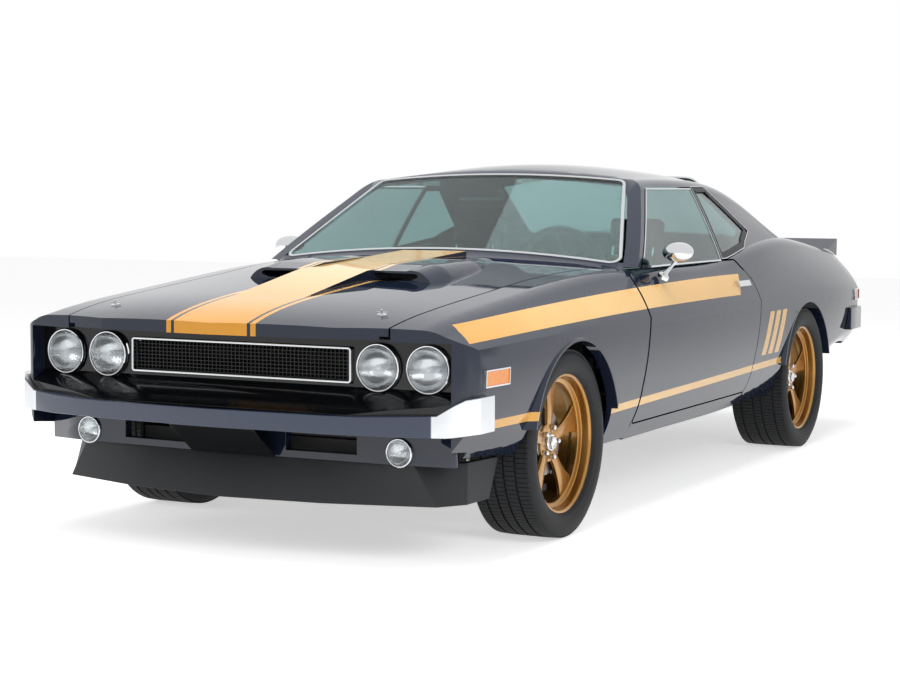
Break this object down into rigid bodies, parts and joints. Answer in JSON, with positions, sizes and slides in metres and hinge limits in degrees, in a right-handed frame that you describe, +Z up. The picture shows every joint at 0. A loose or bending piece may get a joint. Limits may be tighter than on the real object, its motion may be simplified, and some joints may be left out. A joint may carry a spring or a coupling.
{
  "type": "two-door muscle car",
  "caption": "Two-door hardtop muscle car of about 1970 with a long scooped hood, round lamps, chin spoiler, deck spoiler, opening doors, hood and lid, and steered road wheels.",
  "frame": {"origin": "on the ground, midway along and across the car's overall box", "axes": "+X to the car's left, +Y rearwards, +Z up; the nose points to -Y"},
  "size_m": [1.9616, 4.87, 1.3667],
  "materials": {
    "paint": "metallic gloss",
    "under": "satin black",
    "black_trim": "gloss",
    "matte_black": "matte",
    "chrome": "polished",
    "glass": "clear",
    "lamp_glass": "clear",
    "amber": "clear",
    "red": "clear",
    "iron": "rough",
    "steel": "satin",
    "tyre": "matte",
    "wheel": "metallic",
    "seat": "satin",
    "wheel_rim": "satin"
  },
  "bodies": {
    "body": {"body_shell": "paint", "front_fenders": "paint", "door_hinges": "steel", "underbody": "under", "headlamp_panel": "black_trim", "headlamps": "lamp_glass", "grille_frame": "chrome", "grille_screen": "matte_black", "front_bumper": "chrome", "front_valance": "black_trim", "fog_lamps": "lamp_glass", "chin_spoiler": "matte_black", "side_markers": "amber", "tail_lamps": "red", "rear_bumper": "chrome", "windscreen": "glass", "rear_window": "glass", "quarter_windows": "glass", "engine": "iron", "front_crossmember": "under", "upper_arms": "steel", "rear_axle": "iron", "leaf_springs": "steel", "exhaust_system": "steel", "fuel_tank": "steel", "front_seats": "seat", "rear_seat": "seat", "dashboard": "matte_black", "interior_mirror": "matte_black"},
    "hood": {"hood": "paint"},
    "deck_lid": {"deck_lid": "paint", "rear_spoiler": "paint"},
    "door_left": {"door_left": "paint", "door_glass_left": "glass", "mirror_left": "chrome", "handle_left": "chrome"},
    "door_right": {"door_right": "paint", "door_glass_right": "glass", "mirror_right": "chrome", "handle_right": "chrome"},
    "knuckle_left": {"knuckle_left": "iron"},
    "knuckle_right": {"knuckle_right": "iron"},
    "steering_linkage": {"steering_linkage": "steel"},
    "steering_wheel": {"steering_wheel": "wheel_rim"},
    "wheel_front_left": {"tyre_front_left": "tyre", "rim_front_left": "wheel"},
    "wheel_front_right": {"tyre_front_right": "tyre", "rim_front_right": "wheel"},
    "wheel_rear_left": {"tyre_rear_left": "tyre", "rim_rear_left": "wheel"},
    "wheel_rear_right": {"tyre_rear_right": "tyre", "rim_rear_right": "wheel"}
  },
  "joints": [
    {"name": "hood_hinge", "type": "hinge", "parent": "body", "child": "hood", "pos_m": [0, -0.7987, 0.9995], "axis": [-1, 0, 0], "range_deg": [0, 48]},
    {"name": "deck_lid_hinge", "type": "hinge", "parent": "body", "child": "deck_lid", "pos_m": [0, 1.5584, 1.024], "axis": [1, 0, 0], "range_deg": [0, 60]},
    {"name": "door_left_hinge", "type": "hinge", "parent": "body", "child": "door_left", "pos_m": [0.9, -0.725, 0.6], "axis": [0, 0, -1], "range_deg": [0, 65]},
    {"name": "door_right_hinge", "type": "hinge", "parent": "body", "child": "door_right", "pos_m": [-0.9, -0.725, 0.6], "axis": [0, 0, 1], "range_deg": [0, 65]},
    {"name": "steer_left", "type": "hinge", "parent": "body", "child": "knuckle_left", "pos_m": [0.78, -1.465, 0.34], "axis": [0, 0, 1], "range_deg": [-30, 30]},
    {"name": "steer_right", "type": "hinge", "parent": "body", "child": "knuckle_right", "pos_m": [-0.78, -1.465, 0.34], "axis": [0, 0, 1], "range_deg": [-30, 30]},
    {"name": "linkage_slide", "type": "slide", "parent": "body", "child": "steering_linkage", "axis": [1, 0, 0], "range_m": [-0.056, 0.056]},
    {"name": "steering_wheel_turn", "type": "hinge", "parent": "body", "child": "steering_wheel", "pos_m": [0.37, -0.34577, 0.89473], "axis": [0, -0.9562, -0.2926], "range_deg": [-481, 481]},
    {"name": "wheel_front_left_spin", "type": "hinge", "parent": "knuckle_left", "child": "wheel_front_left", "pos_m": [0.78, -1.465, 0.34], "axis": [1, 0, 0], "continuous": true},
    {"name": "wheel_front_right_spin", "type": "hinge", "parent": "knuckle_right", "child": "wheel_front_right", "pos_m": [-0.78, -1.465, 0.34], "axis": [1, 0, 0], "continuous": true},
    {"name": "wheel_rear_left_spin", "type": "hinge", "parent": "body", "child": "wheel_rear_left", "pos_m": [0.788, 1.329, 0.34], "axis": [1, 0, 0], "continuous": true},
    {"name": "wheel_rear_right_spin", "type": "hinge", "parent": "body", "child": "wheel_rear_right", "pos_m": [-0.788, 1.329, 0.34], "axis": [1, 0, 0], "continuous": true}
  ],
  "couplings": [
    {"joint": "steer_right", "follows": "steer_left", "ratio": 1},
    {"joint": "linkage_slide", "follows": "steer_left", "m_per_rad": -0.105},
    {"joint": "steering_wheel_turn", "follows": "steer_left", "ratio": -16}
  ]
}
